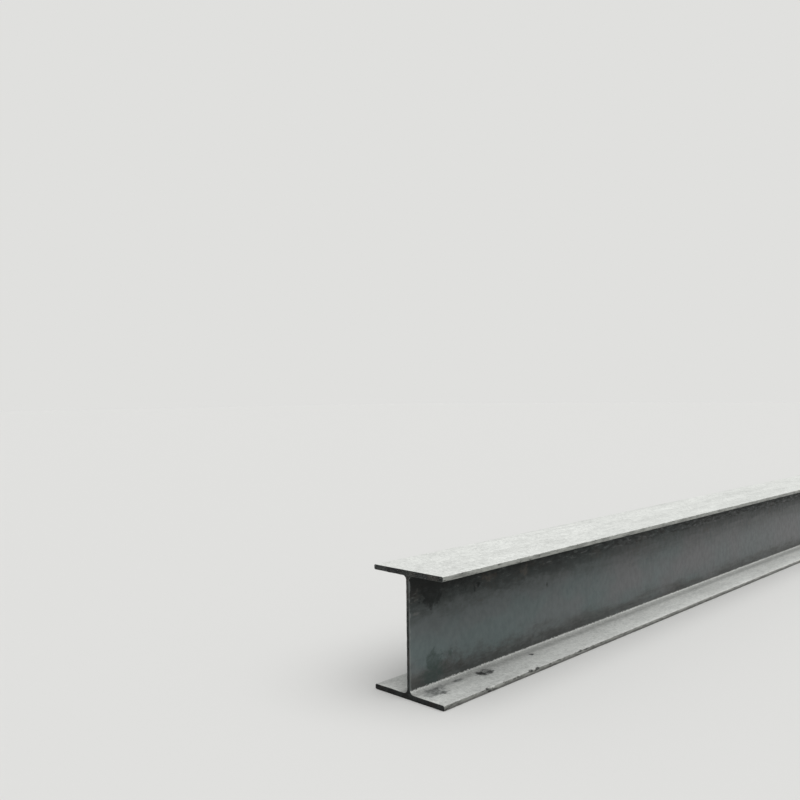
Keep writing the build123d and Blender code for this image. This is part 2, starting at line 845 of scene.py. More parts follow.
@dataclass(frozen=True)
class DustCoat:
    """The dust on all that faces up. On the lower flange it is darker near the web, partly as painted shade
    of the upper flange and partly as thinner dust, and darker towards both ends.
    """

    pale: Rgb = (241, 243, 239)
    dull: Rgb = (199, 201, 197)
    grit: Rgb = (232, 234, 230)
    thickness: float = 0.98
    patchiness: float = 0.09
    rubbed_off_toes: float = 0.40

    # Distances from the web's middle: the edge of the drift against the web, and of the darker strip past it,
    # partly painted shade of the upper flange and partly thinner dust
    drift: Span = (5.5 * MM, 9.5 * MM)
    strip: Span = (16 * MM, 46 * MM)
    shade_and_thin_dust_light: float = 0.64
    worn: Lumps = ((40.0, 90.0, 90.0), 5.0, 0.75)
    worn_span: Span = (0.35, 0.65)
    worn_sway: float = 0.05
    # Distances from the nearer end on the lower flange, and the light there
    toward_ends: Span = (0.1, 1.6)
    toward_ends_light: Span = (0.875, 1.09)
    # Its rim, by distances from the web's middle, and what that loses besides, by distances from the end
    rim: Span = (92 * MM, 110 * MM)
    rim_toward_ends: Span = (1.3, 0.2)
    rim_loss: float = 0.09
    # Grit, and the distances from the web's middle between which it thickens
    grits: Lumps = (230.0, 3.0, 0.7)
    grit_span: Span = (0.54, 0.64)
    grit_strip: Span = (24 * MM, 6 * MM)
    grit_share: Span = (0.12, 0.45)

    def lay(self, at: Surface, marking: Marking, colour: Socket) -> tuple[Socket, Socket]:
        """Lays the dust on a colour, with the marks that are in it.

        Args:
            at: The surface.
            marking: The marks.
            colour: The colour so far.

        Returns:
            The dusty colour, and the dust's mask.
        """
        graph = at.graph
        _, _, up = graph.parts(graph.add("ShaderNodeNewGeometry").outputs["Normal"])
        dust = Dust().place(
            graph,
            Position=at.place,
            Upward=graph.minus(up, graph.times(at.on_toes(), self.rubbed_off_toes)),
            Thickness=self.thickness,
            Patchiness=self.patchiness,
        )
        powder = graph.mix(dust["Tone"], shade(self.dull), shade(self.pale))
        powder = self.dulled(at, powder)
        powder = marking.lay(at, Layer.DUST, powder)
        return graph.mix(dust["Mask"], colour, powder), dust["Mask"]

    def dulled(self, at: Surface, powder: Socket) -> Socket:
        """Dulls the dust near the web, partly as painted shade and partly where less of it stays, and towards
        the ends, and strews grit on it.

        Args:
            at: The surface.
            powder: The dust's colour.

        Returns:
            The duller colour.
        """
        graph = at.graph
        across, from_end, upper = at.across(), at.from_end(), at.at_depth(LOWER_TO_UPPER)
        # Painted shade and thinner dust: on the lower flange the dust is drawn darker from the drift against
        # the web out to the end of the strip.
        strip = graph.ramp(across, self.strip, self.shade_and_thin_dust_light, 1.0)
        shade_and_thin_dust = graph.most(graph.ramp(across, self.drift, 1.0, self.shade_and_thin_dust_light), strip)
        shade_and_thin_dust = graph.plus(graph.sway(at.place, self.worn, self.worn_sway, self.worn_span), shade_and_thin_dust)
        # Darker towards both ends on the lower flange, and more so at its rim.
        toward_ends = graph.blend(upper, (graph.ramp(from_end, self.toward_ends, *self.toward_ends_light), 1.0))
        loss = graph.ramp(from_end, self.rim_toward_ends, 0.0, self.rim_loss)
        loss = graph.times(graph.ramp(across, self.rim), loss)
        toward_ends = graph.minus(toward_ends, graph.blend(upper, (loss, 0.0)))
        powder = graph.dim(powder, graph.times(graph.most(shade_and_thin_dust, upper), toward_ends))
        grit = graph.clouds(at.place, self.grits, self.grit_span)
        grit = graph.times(grit, graph.ramp(across, self.grit_strip, *self.grit_share))
        return graph.mix(grit, powder, shade(self.grit))


@dataclass(frozen=True)
class MillScale:
    """The finish of the rolled surface: blue-grey mill scale, with dirt, marks and dust on it, and painted
    light and shade.
    """

    cool: Rgb = (88, 99, 99)
    warm: Rgb = (97, 98, 99)
    rubbed: Rgb = (118, 122, 121)
    dirt: WebDirt = WebDirt()
    toes: WornToes = WornToes()
    dust: DustCoat = DustCoat()

    # Distances from the near end: where the near stretch gives way, and where the blue fades
    near_stretch: Span = (0.45, 1.3)
    blue_fades: Span = (1.2, 2.1)
    blue_left: float = 0.45
    # In the near stretch, and past it. The light there is painted light: the web is drawn a little darker
    # near the end and lighter past it
    least_blue: Span = (0.6, 0.0)
    light: Span = (0.97, 1.03)
    # Where the grain is lowest, and where it is highest
    streak_light: Span = (0.98, 1.02)
    mottle_light: Span = (0.92, 1.08)
    scale_rough: Span = (0.44, 0.33)
    cut_wear_reach: float = 6 * MM
    cut_wear_share: float = 0.6

    dirt_rough: float = 0.85
    dust_rough: float = 0.95
    # The colour's lightness, from where it is taken for scale to where it is taken for dirt
    scale_to_dirt: Span = (0.07, 0.02)
    gloss: float = 0.3
    bump: float = 0.3

    def make(self, section: Section, marking: Marking) -> bpy.types.Material:
        """Builds the material.

        Args:
            section: The beam's sizes.
            marking: The marks that lie at their own places.

        Returns:
            The material.
        """
        at = Surface.start("mill scale", section)
        graph = at.graph
        far = at.from_near_end(self.near_stretch)
        grain = Grain().place(graph, Position=at.place)
        blue = graph.times(grain["Cloud"], at.from_near_end(self.blue_fades, 1.0, self.blue_left))
        blue = graph.most(blue, graph.blend(far, self.least_blue))
        colour = graph.mix(blue, shade(self.warm), shade(self.cool))
        streaks = graph.blend(grain["Streak"], self.streak_light)
        mottles = graph.blend(grain["Mottle"], self.mottle_light)
        # Painted light: the web is drawn a little darker in the near stretch and lighter past it.
        light = graph.times(graph.times(streaks, mottles), graph.blend(far, self.light))
        colour = graph.dim(colour, light)

        colour = self.dirt.lay(at, far, colour)
        colour = marking.lay(at, Layer.SCALE, colour)
        half, reach = section.length / 2, self.cut_wear_reach
        worn = CutWear().place(graph, Position=at.place, Half_Length=half, Reach=reach)["Mask"]
        colour = graph.mix(graph.times(worn, self.cut_wear_share), colour, shade(self.rubbed))
        colour = self.toes.lay(at, colour)
        colour, dusty = self.dust.lay(at, marking, colour)
        colour = marking.lay(at, Layer.TOP, colour)

        lightness = graph.add("ShaderNodeRGBToBW", {0: colour}).outputs[0]
        scaly = graph.blend(grain["Mottle"], self.scale_rough)
        dirty = graph.blend(graph.ramp(lightness, self.scale_to_dirt), (scaly, self.dirt_rough))
        rough = graph.blend(dusty, (dirty, self.dust_rough))
        return at.finish(colour, rough, self.gloss, grain["Height"], self.bump)


@dataclass(frozen=True)
class SawnSteel:
    """The finish of the sawn ends: dark and dull, with the blade's arcs, some rust, a rubbed arris, and
    painted shade towards the floor.
    """

    steel: Rgb = (56, 60, 59)
    dark: Rgb = (26, 28, 28)
    rust: Rgb = (70, 64, 58)
    rubbed: Rgb = (116, 120, 118)
    speck: Rgb = (132, 135, 131)

    cloud_scale: Place = (34.0, 34.0, 34.0)
    mottle_scale: Place = (130.0, 130.0, 130.0)
    mottle_light: Span = (0.6, 1.3)
    blade_centre: Flat = (0.75, -0.55)
    teeth: Lumps = (420.0, 3.0, 0.6)
    teeth_span: Span = (0.35, 0.65)
    teeth_light: Span = (0.86, 1.1)
    teeth_height: float = 0.6
    rust_amount: float = 0.4
    rust_share: float = 0.45
    specks: Lumps = (240.0, 4.0, 0.7)
    speck_span: Span = (0.55, 0.64)
    # Shares of the depth, and how strong the specks are there
    speck_heights: Span = (0.4, 1.0)
    speck_share: Span = (0.1, 0.55)
    # Shares of the arris
    rubbed_depths: Span = (0.1, 0.7)
    rubbed_share: float = 0.55
    # Shares of the depth, and how much light the painted shade near the floor leaves
    foot_heights: Span = (0.0, 0.12)
    painted_foot_shade: float = 0.42

    rough: Span = (0.72, 0.50)
    gloss: float = 0.2
    bump: float = 0.5

    def make(self, section: Section) -> bpy.types.Material:
        """Builds the material.

        Args:
            section: The beam's sizes.

        Returns:
            The material.
        """
        at = Surface.start("sawn steel", section)
        graph = at.graph
        arcs = self.arcs(at)
        scales = {"Cloud_Scale": self.cloud_scale, "Mottle_Scale": self.mottle_scale}
        grain = Grain().place(graph, Position=at.place, **scales)
        colour = graph.mix(grain["Cloud"], shade(self.dark), shade(self.steel))
        mottle = graph.blend(grain["Mottle"], self.mottle_light)
        colour = graph.dim(colour, graph.times(graph.blend(arcs, self.teeth_light), mottle))
        rust = Rust().place(graph, Position=at.place, Amount=self.rust_amount)["Mask"]
        colour = graph.mix(graph.times(rust, self.rust_share), colour, shade(self.rust))

        specks = graph.clouds(at.place, self.specks, self.speck_span)
        specks = graph.times(specks, at.at_depth(self.speck_heights, *self.speck_share))
        colour = graph.mix(specks, colour, shade(self.speck))
        start, end = (share * section.arris for share in self.rubbed_depths)
        rubbed = graph.times(graph.ramp(at.from_end(), (start, end)), self.rubbed_share)
        colour = graph.mix(rubbed, colour, shade(self.rubbed))
        # Painted shade: the sawn ends are drawn darker towards the floor.
        colour = graph.dim(colour, at.at_depth(self.foot_heights, self.painted_foot_shade, 1.0))

        rough = graph.blend(grain["Mottle"], self.rough)
        height = graph.plus(graph.times(arcs, self.teeth_height), grain["Height"])
        return at.finish(colour, rough, self.gloss, height, self.bump)

    def arcs(self, at: Surface) -> Socket:
        """Draws the marks that the blade's teeth leave, as arcs round its centre.

        Args:
            at: The surface.

        Returns:
            A mask of the arcs.
        """
        graph = at.graph
        from_centre = graph.vector("SUBTRACT", at.place, (0.0, *self.blade_centre))
        radius = graph.length(graph.vector("MULTIPLY", from_centre, (0.0, 1.0, 1.0)))
        line = graph.add("ShaderNodeCombineXYZ", {0: radius}).outputs[0]
        return graph.clouds(line, self.teeth, self.teeth_span)


class Zone(Enum):
    """The stretches of a quarter of the outline, from the middle of a flange to the middle of the web.

    Each has its number, and how many steps its points divide it into.
    """

    OUTER_FACE = 0, 4
    OUTER_ARRIS = 1, 3
    TOE = 2, 2
    INNER_ARRIS = 3, 3
    INNER_FACE = 4, 4
    ROOT = 5, 6
    WEB = 6, 6

    def __init__(self, number: int, steps: int) -> None:
        """Keeps the two numbers apart."""
        self.number = number
        self.steps = steps


@dataclass(frozen=True)
class Outline:
    """The section's outline as one closed ring of points, with arrays that run in step."""

    y: np.ndarray
    z: np.ndarray
    out_y: np.ndarray
    out_z: np.ndarray
    zone: np.ndarray
    along: np.ndarray
    perimeter: float

    def has(self, *zones: Zone) -> np.ndarray:
        """Tells for each point whether it lies on some stretches."""
        return np.isin(self.zone, [zone.number for zone in zones])

    def read(self, values: np.ndarray, along: np.ndarray) -> np.ndarray:
        """Reads values that stand at this outline's points anywhere along it."""
        return np.interp(along, np.append(self.along, self.perimeter), np.append(values, values[0]))

    def divided(self, step: float) -> tuple["Outline", np.ndarray]:
        """Adds points on the straight lines between the points.

        Args:
            step: About how far apart the points are then.

        Returns:
            The finer outline, and where each of this one's points is in it.
        """
        ends = np.append(self.along, self.perimeter)
        counts = np.maximum(1, np.round(np.diff(ends) / step).astype(int))
        stretches = zip(ends, ends[1:], counts)
        along = np.concatenate([np.linspace(a, b, count, endpoint=False) for a, b, count in stretches])
        values = (self.read(values, along) for values in (self.y, self.z, self.out_y, self.out_z))
        corners = np.concatenate([[0], np.cumsum(counts)[:-1]])
        return Outline(*values, np.repeat(self.zone, counts), along, self.perimeter), corners


class Pen:
    """Draws a quarter of the outline about the section's middle, and mirrors it into the whole."""

    def __init__(self) -> None:
        """Starts with no points."""
        self.points: list[tuple] = []

    def dot(self, zone: Zone, place: Flat, out: Flat) -> None:
        """Draws one point, with the direction out of the steel there."""
        self.points.append((*place, *out, zone.number))

    def run(self, zone: Zone, start: Flat, end: Flat, out: Flat) -> None:
        """Draws a straight stretch, without its last point.

        Args:
            zone: Which stretch it is.
            start: Where it starts.
            end: Where it ends.
            out: The direction out of the steel.
        """
        for i in range(zone.steps):
            y, h = (a + (b - a) * i / zone.steps for a, b in zip(start, end))
            self.dot(zone, (y, h), out)

    def turn(self, zone: Zone, centre: Flat, radius: float, first: float, last: float) -> None:
        """Draws an arc, without its last point.

        Args:
            zone: Which stretch it is.
            centre: The arc's centre.
            radius: Its radius, which is negative where the arc is hollow.
            first: The angle at which the direction out of the steel starts, in degrees.
            last: The angle at which it ends.
        """
        for i in range(zone.steps):
            angle = math.radians(first + (last - first) * i / zone.steps)
            out = math.cos(angle), math.sin(angle)
            self.dot(zone, (centre[0] + radius * out[0], centre[1] + radius * out[1]), out)

    def mirrored(self, order: slice, flip_y: int, flip_h: int) -> list[tuple]:
        """Returns some points in an order, on the other side of one or both middles."""
        chosen = self.points[order]
        return [(y * flip_y, h * flip_h, oy * flip_y, oh * flip_h, n) for y, h, oy, oh, n in chosen]

    def close(self, middle: float) -> Outline:
        """Mirrors the quarter into the whole ring.

        Args:
            middle: How high the section's middle is.

        Returns:
            The outline.
        """
        ring = self.points + self.mirrored(slice(-2, None, -1), 1, -1)
        ring += self.mirrored(slice(1, None), -1, -1) + self.mirrored(slice(-2, 0, -1), -1, 1)
        y, h, out_y, out_h, zone = np.array(ring).T
        step = np.hypot(np.diff(y, append=y[0]), np.diff(h, append=h[0]))
        along = np.concatenate([[0.0], np.cumsum(step)[:-1]])
        return Outline(y, h + middle, out_y, out_h, zone.astype(int), along, float(step.sum()))


@dataclass(frozen=True)
class Waves:
    """A few sines along the beam, added up, with the most that they reach together and their lengths."""

    reach: float
    lengths: tuple[float, ...]

    def at(self, x: np.ndarray, phase: float) -> np.ndarray:
        """Adds them up.

        Args:
            x: Where they are read.
            phase: Sets this sum apart from others.

        Returns:
            The sum at each place.
        """
        sines = [
            np.sin(2 * np.pi * x / length + phase * (i + 1) ** 2) for i, length in enumerate(self.lengths)
        ]
        return self.reach * np.sum(sines, axis=0) / len(sines)


@dataclass(frozen=True)
class Nick:
    """A dent that handling has left in a flange's toe, in metres."""

    from_end: float
    side: int
    upper: bool
    reach: float
    depth: float
    outer: bool = True


class Skin:
    """Collects rings of mesh points, and the faces between them."""

    def __init__(self) -> None:
        """Starts with nothing."""
        self.points: list[np.ndarray] = []
        self.along: list[np.ndarray] = []
        self.count = 0
        self.faces: list[list[int]] = []
        self.sawn: list[bool] = []

    def ring(self, x: float | np.ndarray, outline: Outline, out: np.ndarray) -> range:
        """Adds a ring of points.

        Args:
            x: Where it is along the beam.
            outline: Its shape.
            out: How far each point has moved out of the steel.

        Returns:
            The points' numbers.
        """
        y, z = outline.y + out * outline.out_y, outline.z + out * outline.out_z
        self.points.append(np.stack([np.broadcast_to(x, y.shape), y, z], axis=1))
        self.along.append(outline.along)
        numbers = range(self.count, self.count + len(y))
        self.count += len(y)
        return numbers

    def add(self, face: list[int], sawn: bool) -> None:
        """Adds one face."""
        self.faces.append(face)
        self.sawn.append(sawn)

    def join(self, first: range, second: range, sawn: bool = False) -> None:
        """Joins two rings that have as many points.

        Args:
            first: One ring.
            second: The other.
            sawn: Whether the saw has left the faces between them.
        """
        for j in range(len(first)):
            k = (j + 1) % len(first)
            self.add([first[j], second[j], second[k], first[k]], sawn)

    def gather(self, fine: range, coarse: range, corners: np.ndarray) -> None:
        """Joins a fine ring to a coarse one.

        Args:
            fine: The fine ring.
            coarse: The coarse one.
            corners: Where each of the coarse ring's points is in the fine one.
        """
        ends = [*corners.tolist(), len(fine)]
        for j in range(len(coarse)):
            k = (j + 1) % len(coarse)
            edge = [fine[i % len(fine)] for i in range(ends[j], ends[j + 1] + 1)]
            self.add([*edge, coarse[k], coarse[j]], False)


@dataclass
class HBeam:
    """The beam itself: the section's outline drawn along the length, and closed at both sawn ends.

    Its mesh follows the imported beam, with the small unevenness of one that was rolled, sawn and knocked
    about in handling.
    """

    section: Section
    stains: list[Stain]
    placed_nicks: list[Nick]
    seed: int = 7
    # How far apart the rings are along the beam, the points round an end, and two rings at the least
    spacing: float = 10 * MM
    end_spacing: float = 2.5 * MM
    closest: float = 1.5 * MM
    # From the last of an end's fine rings to the first plain one
    clear_of_end: float = 7 * MM

    # What rolling leaves uneven
    web_waves: Waves = Waves(0.5 * MM, (0.93, 0.41, 0.23))
    toe_waves: Waves = Waves(0.5 * MM, (0.71, 0.19, 0.063, 0.031))
    web_phase: float = 1.3
    toe_phase: float = 2.1

    # The small nicks that are strewn along the toes
    strewn: int = 90
    strewn_margin: float = 30 * MM
    strewn_reach: Flat = (12 * MM, 30 * MM)
    strewn_depth: Flat = (0.4 * MM, 1.7 * MM)
    share_upper: float = 0.4
    share_outer: float = 0.6
    # How much of a nick in an arris reaches the toe, and where the rings lie across it, in its reaches
    share_on_toe: float = 0.45
    across_nick: tuple[float, ...] = (-1.0, -0.6, -0.3, 0.0, 0.3, 0.6, 1.0)

    # The saw's burr: its height, and the share that is left where it is lowest
    burr: float = 1.5 * MM
    burr_least: float = 0.35
    # Over how many points its spikes and its drifts are evened out
    burr_spikes: int = 9
    burr_drifts: int = 60
    # Its share on the flat face, and at some distances from the end
    burr_on_face: float = 0.75
    burr_behind: tuple[Flat, ...] = ((2.2 * MM, 0.55), (4.5 * MM, 0.12), (9.0 * MM, 0.0))
    # The chewed arris, in shares of the true one, and how far the outer faces sink in beside it
    chewed_least: float = 0.5
    chewed_more: float = 0.9
    chewed_smooth: int = 5
    sunk_arris: float = 0.25

    # The flat map's gap between its strips, and how wide these are, as shares of its side
    map_gap: float = 0.004
    map_strip: float = 0.885

    def outline(self) -> Outline:
        """Walks round the section.

        Returns:
            The ring of points, with the direction out of the steel at each.
        """
        s = self.section
        half_width, half_depth, half_web = s.width / 2, s.depth / 2, s.web / 2
        inner = half_depth - s.flange
        pen = Pen()
        pen.run(Zone.OUTER_FACE, (0, half_depth), (half_width - s.toe, half_depth), (0, 1))
        pen.turn(Zone.OUTER_ARRIS, (half_width - s.toe, half_depth - s.toe), s.toe, 90, 0)
        pen.run(Zone.TOE, (half_width, half_depth - s.toe), (half_width, inner + s.toe), (1, 0))
        pen.turn(Zone.INNER_ARRIS, (half_width - s.toe, inner + s.toe), s.toe, 0, -90)
        pen.run(Zone.INNER_FACE, (half_width - s.toe, inner), (half_web + s.root, inner), (0, -1))
        pen.turn(Zone.ROOT, (half_web + s.root, inner - s.root), -s.root, -90, 0)
        pen.run(Zone.WEB, (half_web, inner - s.root), (half_web, 0), (1, 0))
        pen.dot(Zone.WEB, (half_web, 0), (1, 0))
        return pen.close(half_depth)

    def nicks(self, dice: np.random.Generator) -> list[Nick]:
        """Strews small nicks along the toes.

        Args:
            dice: Where the random numbers come from.

        Returns:
            The nicks that are given one by one, and the strewn ones.
        """
        strewn = [
            Nick(
                from_end=dice.uniform(self.strewn_margin, self.section.length - self.strewn_margin),
                side=int(dice.choice((-1, 1))),
                upper=bool(dice.random() < self.share_upper),
                reach=dice.uniform(*self.strewn_reach),
                depth=dice.uniform(*self.strewn_depth),
                outer=bool(dice.random() < self.share_outer),
            )
            for _ in range(self.strewn)
        ]
        return self.placed_nicks + strewn

    def stations(self) -> np.ndarray:
        """Chooses where along the beam its rings lie: evenly, and closer together round the placed nicks.

        Returns:
            The places along X, in order, from past one end's fine rings to before the other's. One is at
            the middle, where the two strips of the flat map meet.
        """
        half = self.section.length / 2
        last = half - self.burr_behind[-1][0] - self.clear_of_end
        steps = 2 * round(last / self.spacing)
        even = np.linspace(-last, last, steps + 1)
        middle = float(even[steps // 2])
        places = even.tolist()
        for nick in self.placed_nicks:
            places += [nick.from_end - half + nick.reach * share for share in self.across_nick]
        kept = [-last]
        for place in sorted(places)[1:]:
            if place - kept[-1] > self.closest or place == middle:
                kept.append(place)
        return np.array(kept)

    def relief(self, ring: Outline, x: np.ndarray, nicks: list[Nick]) -> np.ndarray:
        """Works out how far each point moves out of the steel, which is below zero where it sinks in.

        Args:
            ring: The outline.
            x: The stations.
            nicks: The nicks.

        Returns:
            A table with a row for each station and a column for each point of the outline.
        """
        s = self.section
        side, upper = np.sign(ring.y), ring.z > s.depth / 2
        bow = np.sin(np.pi * np.clip((ring.z - s.flange) / (s.depth - 2 * s.flange), 0, 1))
        moved = np.outer(self.web_waves.at(x, self.web_phase), ring.has(Zone.WEB) * bow * side)

        edge = ring.has(Zone.OUTER_ARRIS, Zone.TOE, Zone.INNER_ARRIS) * np.abs(ring.out_y)
        toes = ((-1, False), (-1, True), (1, False), (1, True))
        for index, (sign, high) in enumerate(toes):
            uneven = self.toe_waves.at(x, self.toe_phase + index) + self.toe_waves.reach
            moved -= np.outer(uneven, edge * ((side == sign) & (upper == high)))

        for nick in nicks:
            share = np.clip((x + s.length / 2 - nick.from_end) / nick.reach, -1, 1)
            arris = Zone.OUTER_ARRIS if nick.outer else Zone.INNER_ARRIS
            weight = ring.has(arris) + self.share_on_toe * ring.has(Zone.TOE)
            here = (side == nick.side) & (upper == nick.upper)
            moved -= np.outer(nick.depth * (1 - share**2) ** 2, weight * here)
        return moved

    def ragged(self, dice: np.random.Generator, count: int, smooth: int) -> np.ndarray:
        """Returns random heights from 0 to 1 round a closed ring.

        Args:
            dice: Where the numbers come from.
            count: How many there are.
            smooth: Over how many neighbours they are evened out.

        Returns:
            The heights.
        """
        rough = dice.random(count)
        evened = np.convolve(np.concatenate([rough] * 3), np.hanning(smooth + 2), "same")[count:2 * count]
        return (evened - evened.min()) / np.ptp(evened)

    def saw_end(
        self, skin: Skin, coarse: Outline, nicks: list[Nick], sign: int, dice: np.random.Generator
    ) -> range:
        """Adds one sawn end, from its flat face to the last of its fine rings.

        Args:
            skin: Where its points and faces go.
            coarse: The section's outline.
            nicks: The nicks.
            sign: -1 for the near end and 1 for the far one.
            dice: Where its unevenness comes from.

        Returns:
            The last ring.
        """
        s = self.section
        fine, _ = coarse.divided(self.end_spacing)
        inward = fine.has(Zone.INNER_FACE, Zone.ROOT, Zone.WEB)
        count = len(fine.y)
        spikes = self.ragged(dice, count, self.burr_spikes)
        drifts = self.ragged(dice, count, self.burr_drifts)
        fin = inward * self.burr * spikes**2 * (self.burr_least + (1 - self.burr_least) * drifts)
        bites = self.ragged(dice, count, self.chewed_smooth)
        chewed = s.arris * (self.chewed_least + self.chewed_more * bites)
        sunk = self.sunk_arris * s.arris * ~inward

        rings = [(0.0, self.burr_on_face, chewed), (chewed, 1.0, sunk)]
        rings += [(from_end, share, share * sunk) for from_end, share in self.burr_behind]
        last = None
        for index, (from_end, share, inset) in enumerate(rings):
            x = sign * (s.length / 2 - from_end)
            out = self.relief(coarse, np.array([np.mean(x)]), nicks)[0]
            new = skin.ring(x, fine, coarse.read(out, fine.along) + share * fin - inset)
            if last is None:
                skin.add(list(new), sawn=True)
            else:
                skin.join(last, new, sawn=index == 1)
            last = new
        return last

    def build(self) -> bpy.types.Object:
        """Builds the beam's mesh.

        Returns:
            The beam.
        """
        dice = np.random.default_rng(self.seed)
        nicks = self.nicks(dice)
        ring, x = self.outline(), self.stations()
        moved = self.relief(ring, x, nicks)
        _, corners = ring.divided(self.end_spacing)

        skin = Skin()
        near = self.saw_end(skin, ring, nicks, -1, dice)
        rows = [skin.ring(place, ring, out) for place, out in zip(x, moved)]
        far = self.saw_end(skin, ring, nicks, 1, dice)
        skin.gather(near, rows[0], corners)
        for first, second in zip(rows, rows[1:]):
            skin.join(first, second)
        skin.gather(far, rows[-1], corners)

        mesh = bpy.data.meshes.new("h_beam_rolled")
        mesh.from_pydata(np.concatenate(skin.points).tolist(), [], skin.faces)
        sawn = np.array(skin.sawn)
        mesh.polygons.foreach_set("use_smooth", ~sawn)
        mesh.polygons.foreach_set("material_index", sawn.astype(np.int32))
        self.lay_flat(mesh, skin, ring.perimeter)
        self.turn_outward(mesh)

        beam = bpy.data.objects.new("h_beam_rolled", mesh)
        bpy.context.scene.collection.objects.link(beam)
        log.info("rolled %d rings of %d points, with %d nicks", len(rows), len(ring.y), len(nicks))
        return beam

    def lay_flat(self, mesh: bpy.types.Mesh, skin: Skin, perimeter: float) -> None:
        """Gives the mesh a flat map: a strip for each half of the length, and the ends beside them.

        Args:
            mesh: The beam's mesh.
            skin: Its rings, with how far round the outline each point is.
            perimeter: The outline's length.
        """
        half, width = self.section.length / 2, self.section.width
        gap, strip_wide = self.map_gap, self.map_strip
        strip_high = (1 - 3 * gap) / 2
        ends_scale = (1 - strip_wide - 3 * gap) / width
        along = np.concatenate(skin.along)
        points = np.concatenate(skin.points)
        layer = mesh.uv_layers.new(name="OFBake")

        places: list[Flat] = []
        for face, sawn in zip(skin.faces, skin.sawn):
            x, y, z = points[face].T
            second = x.mean() > 0
            if sawn:
                u = strip_wide + 2 * gap + (y + width / 2) * ends_scale
                v = gap + 0.5 * second + z * ends_scale
            else:
                far_round = along[face]
                if np.ptp(far_round) > perimeter / 2:
                    far_round = np.where(far_round < perimeter / 2, far_round + perimeter, far_round)
                u = gap + strip_wide * (x + (0 if second else half)) / half
                v = gap + second * (strip_high + gap) + strip_high * far_round / perimeter
            places += zip(u.tolist(), v.tolist())
        layer.data.foreach_set("uv", np.array(places).ravel())

    def turn_outward(self, mesh: bpy.types.Mesh) -> None:
        """Makes every face look out of the steel.

        Args:
            mesh: The beam's mesh.
        """
        work = bmesh.new()
        work.from_mesh(mesh)
        bmesh.ops.recalc_face_normals(work, faces=work.faces)
        work.to_mesh(mesh)
        work.free()
        mesh.update()

    def dress(self, beam: bpy.types.Object) -> None:
        """Gives the beam its two finishes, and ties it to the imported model.

        Args:
            beam: The beam.
        """
        beam.data.materials.append(MillScale().make(self.section, Marking(tuple(self.stains))))
        beam.data.materials.append(SawnSteel().make(self.section))
        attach(beam, BODY)
        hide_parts(NODE)


@dataclass(frozen=True)
class Viewpoint:
    """Where the picture is taken from, in metres and degrees, with X along the beam and Z up."""

    place: Place = (-4.586, -1.528, 0.798)
    yaw: float = 44.29
    pitch: float = -0.30
    roll: float = -0.62
    lens: float = 37.86
    sensor: float = 36.0
    sees_as_far_as: float = 200.0

    def build(self) -> bpy.types.Object:
        """Places the camera and makes it the scene's own.

        Returns:
            The camera.
        """
        yaw, pitch, roll = (math.radians(angle) for angle in (self.yaw, self.pitch, self.roll))
        forward = Vector((math.cos(yaw) * math.cos(pitch), math.sin(yaw) * math.cos(pitch), math.sin(pitch)))
        level = Vector((math.sin(yaw), -math.cos(yaw), 0.0))
        upright = level.cross(forward)
        right = math.cos(roll) * level + math.sin(roll) * upright
        up = math.cos(roll) * upright - math.sin(roll) * level
        turned = Matrix((right, up, -forward)).transposed().to_4x4()

        data = bpy.data.cameras.new("camera")
        data.lens, data.sensor_width, data.clip_end = self.lens, self.sensor, self.sees_as_far_as
        camera = bpy.data.objects.new("camera", data)
        camera.matrix_world = Matrix.Translation(Vector(self.place)) @ turned
        bpy.context.scene.collection.objects.link(camera)
        bpy.context.scene.camera = camera
        return camera


@dataclass(frozen=True)
class Studio:
    """A pale floor under soft light that comes from above and from the camera's side of the beam."""

    floor_size: float = 120.0
    floor: Rgb = (222, 222, 220)
    floor_rough: float = 0.9
    floor_gloss: float = 0.1
    backdrop: Rgb = (224, 224, 222)
    sky: Rgb = (255, 255, 255)
    sky_strength: float = 0.35
    sun_strength: float = 2.2
    sun_from: Place = (0.0, -0.30, 1.0)
    sun_spread: float = 80.0

    def build(self) -> None:
        """Builds the floor, the sky and the lamp."""
        mesh = bpy.data.meshes.new("floor")
        half = self.floor_size / 2
        corners = [(-half, -half, 0), (half, -half, 0), (half, half, 0), (-half, half, 0)]
        mesh.from_pydata(corners, [], [[0, 1, 2, 3]])
        floor = bpy.data.objects.new("floor", mesh)
        bpy.context.scene.collection.objects.link(floor)
        mesh.materials.append(self.floor_finish())

        sun = bpy.data.lights.new("soft light from above", "SUN")
        sun.energy, sun.angle = self.sun_strength, math.radians(self.sun_spread)
        lamp = bpy.data.objects.new("soft light from above", sun)
        lamp.rotation_mode = "QUATERNION"
        lamp.rotation_quaternion = Vector(self.sun_from).to_track_quat("Z", "Y")
        bpy.context.scene.collection.objects.link(lamp)
        self.build_sky()

    def floor_finish(self) -> bpy.types.Material:
        """Makes the floor's plain finish.

        Returns:
            The material.
        """
        material = bpy.data.materials.new("pale floor")
        material.use_nodes = True
        inputs = material.node_tree.nodes["Principled BSDF"].inputs
        inputs["Base Color"].default_value = shade(self.floor)
        inputs["Roughness"].default_value = self.floor_rough
        inputs["Specular IOR Level"].default_value = self.floor_gloss
        return material

    def build_sky(self) -> None:
        """Builds a plain sky, which the camera and gloss see as a pale backdrop."""
        world = bpy.data.worlds.new("soft sky")
        bpy.context.scene.world = world
        world.use_nodes = True
        graph = Graph(world.node_tree)
        world.node_tree.nodes.clear()
        light = graph.add("ShaderNodeBackground", {"Color": shade(self.sky), "Strength": self.sky_strength})
        seen = graph.add("ShaderNodeBackground", {"Color": shade(self.backdrop), "Strength": 1.0})
        path = graph.add("ShaderNodeLightPath").outputs
        shown = graph.most(path["Is Camera Ray"], path["Is Glossy Ray"])
        shown = graph.most(shown, path["Is Transmission Ray"])
        mixed = graph.add("ShaderNodeMixShader", {0: shown, 1: light.outputs[0], 2: seen.outputs[0]})
        graph.add("ShaderNodeOutputWorld", {"Surface": mixed.outputs[0]})


